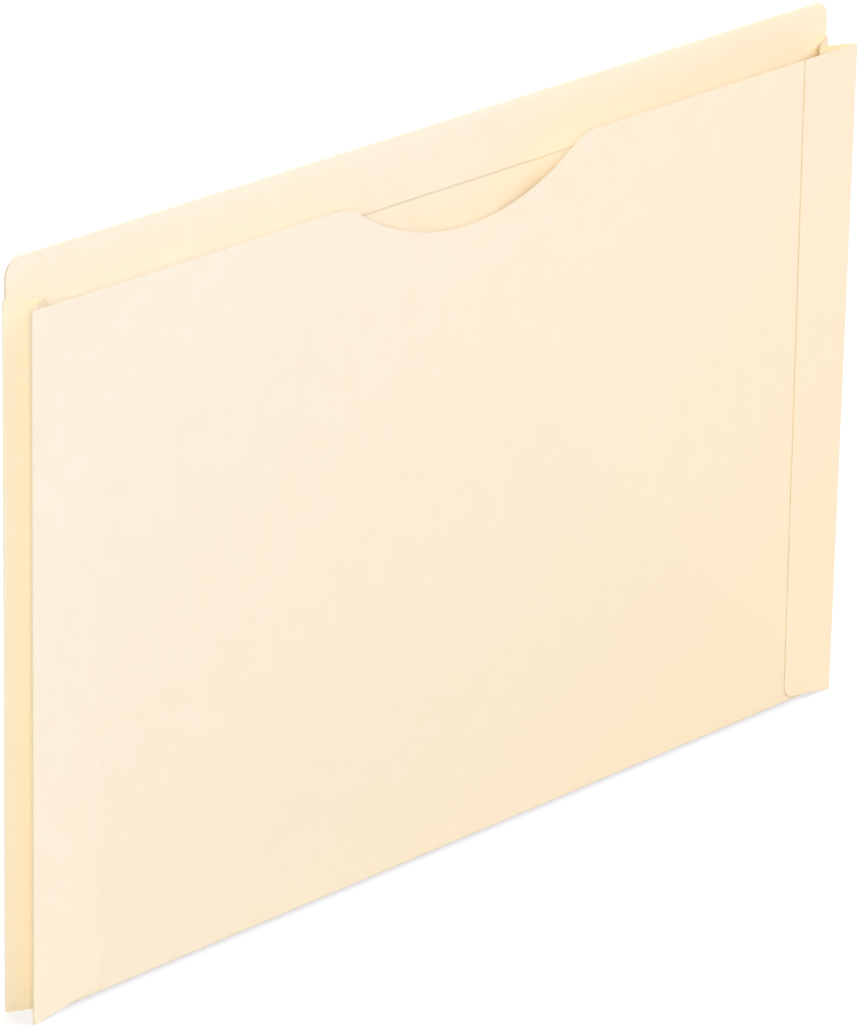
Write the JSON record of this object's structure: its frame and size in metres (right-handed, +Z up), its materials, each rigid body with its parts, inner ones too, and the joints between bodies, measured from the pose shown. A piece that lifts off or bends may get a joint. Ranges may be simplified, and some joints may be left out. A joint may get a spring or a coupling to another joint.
{
  "type": "expanding file jacket",
  "caption": "Manila card file jacket for loose papers: tall tabbed back, lower front with a thumb cut, closed sides and bottom with V-folded gussets that spread and close flat.",
  "frame": {"origin": "on the ground under the middle of the standing jacket", "axes": "+X along the width, to the right seen from the front; +Y from the front panel to the tabbed back panel; +Z up, towards the open mouth"},
  "size_m": [0.3746, 0.0134, 0.2428],
  "materials": {
    "manila_card": "uncoated smooth card, matte",
    "adhesive": "dried paper adhesive film, satin"
  },
  "bodies": {
    "back": {"back_panel": "manila_card", "tab_fold_ply": "manila_card", "tab_glue_line": "adhesive"},
    "left_gusset_rear": {"left_gusset_rear": "manila_card"},
    "left_gusset_front": {"left_gusset_front": "manila_card"},
    "front": {"front_panel": "manila_card", "left_glue_flap": "manila_card", "right_glue_flap": "manila_card", "left_seam_glue": "adhesive", "right_seam_glue": "adhesive"},
    "right_gusset_rear": {"right_gusset_rear": "manila_card"},
    "right_gusset_front": {"right_gusset_front": "manila_card"},
    "bottom_gusset_rear": {"bottom_gusset_rear": "manila_card"},
    "bottom_gusset_front": {"bottom_gusset_front": "manila_card"}
  },
  "joints": [
    {"name": "left_rear_crease", "type": "hinge", "parent": "back", "child": "left_gusset_rear", "pos_m": [-0.18704, 0.00638, 0.11505], "axis": [0, 0, -1], "range_deg": [-22, 60]},
    {"name": "left_mid_crease", "type": "hinge", "parent": "left_gusset_rear", "child": "left_gusset_front", "pos_m": [-0.17596, 0.00017, 0.11505], "axis": [0, 0, 1], "range_deg": [-44, 120]},
    {"name": "left_front_crease", "type": "hinge", "parent": "left_gusset_front", "child": "front", "pos_m": [-0.18704, -0.00604, 0.11505], "axis": [0, 0, -1], "range_deg": [-22, 60]},
    {"name": "right_rear_crease", "type": "hinge", "parent": "back", "child": "right_gusset_rear", "pos_m": [0.18704, 0.00638, 0.11505], "axis": [0, 0, 1], "range_deg": [-22, 60]},
    {"name": "right_mid_crease", "type": "hinge", "parent": "right_gusset_rear", "child": "right_gusset_front", "pos_m": [0.17596, 0.00017, 0.11505], "axis": [0, 0, -1], "range_deg": [-44, 120]},
    {"name": "bottom_rear_crease", "type": "hinge", "parent": "back", "child": "bottom_gusset_rear", "pos_m": [0, 0.00638, 0.00178], "axis": [1, 0, 0], "range_deg": [-22, 60]},
    {"name": "bottom_mid_crease", "type": "hinge", "parent": "bottom_gusset_rear", "child": "bottom_gusset_front", "pos_m": [0, 0.00017, 0.01286], "axis": [-1, 0, 0], "range_deg": [-44, 120]}
  ],
  "couplings": [
    {"joint": "left_mid_crease", "follows": "left_rear_crease", "ratio": 2},
    {"joint": "left_front_crease", "follows": "left_rear_crease", "ratio": 1},
    {"joint": "right_rear_crease", "follows": "left_rear_crease", "ratio": 1},
    {"joint": "right_mid_crease", "follows": "left_rear_crease", "ratio": 2},
    {"joint": "bottom_rear_crease", "follows": "left_rear_crease", "ratio": 1},
    {"joint": "bottom_mid_crease", "follows": "left_rear_crease", "ratio": 2}
  ]
}
